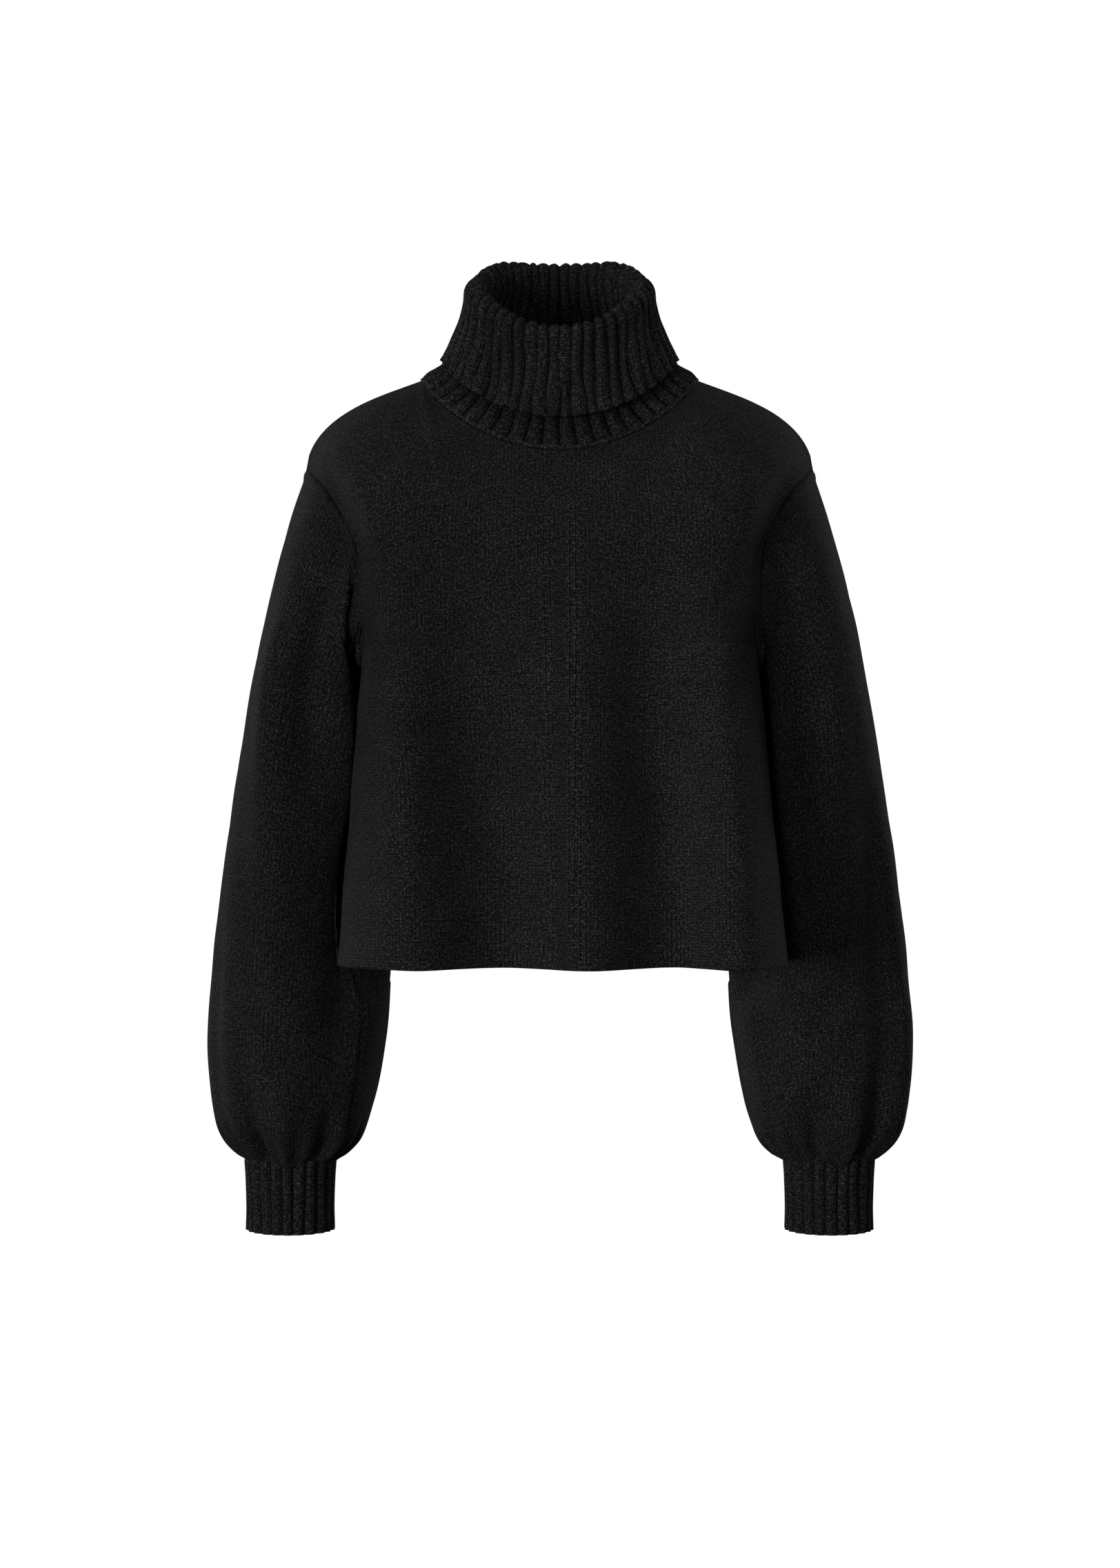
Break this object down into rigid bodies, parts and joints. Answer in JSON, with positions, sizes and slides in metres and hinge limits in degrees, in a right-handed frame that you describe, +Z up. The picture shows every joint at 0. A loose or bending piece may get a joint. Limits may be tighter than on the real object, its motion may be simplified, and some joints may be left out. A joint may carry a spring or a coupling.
{
  "type": "turtleneck sweater",
  "caption": "Cropped turtleneck sweater, filled out as worn and hollow, with a turned-over ribbed collar, set-in balloon sleeves and ribbed cuffs.",
  "frame": {"origin": "middle of the neck, level with the two points where shoulder seams meet the collar", "axes": "+X to the wearer's left, +Y to the wearer's back, +Z up"},
  "size_m": [0.5845, 0.2923, 0.7911],
  "materials": {
    "stockinette": "black plain stocking stitch wool blend, matt with a faint nap",
    "rib": "black two by two rib knit wool blend, matt"
  },
  "bodies": {
    "root": {"front": "stockinette", "back": "stockinette", "sleeve_right": "stockinette", "sleeve_left": "stockinette", "cuff_right": "rib", "cuff_left": "rib", "collar": "rib"}
  },
  "joints": []
}
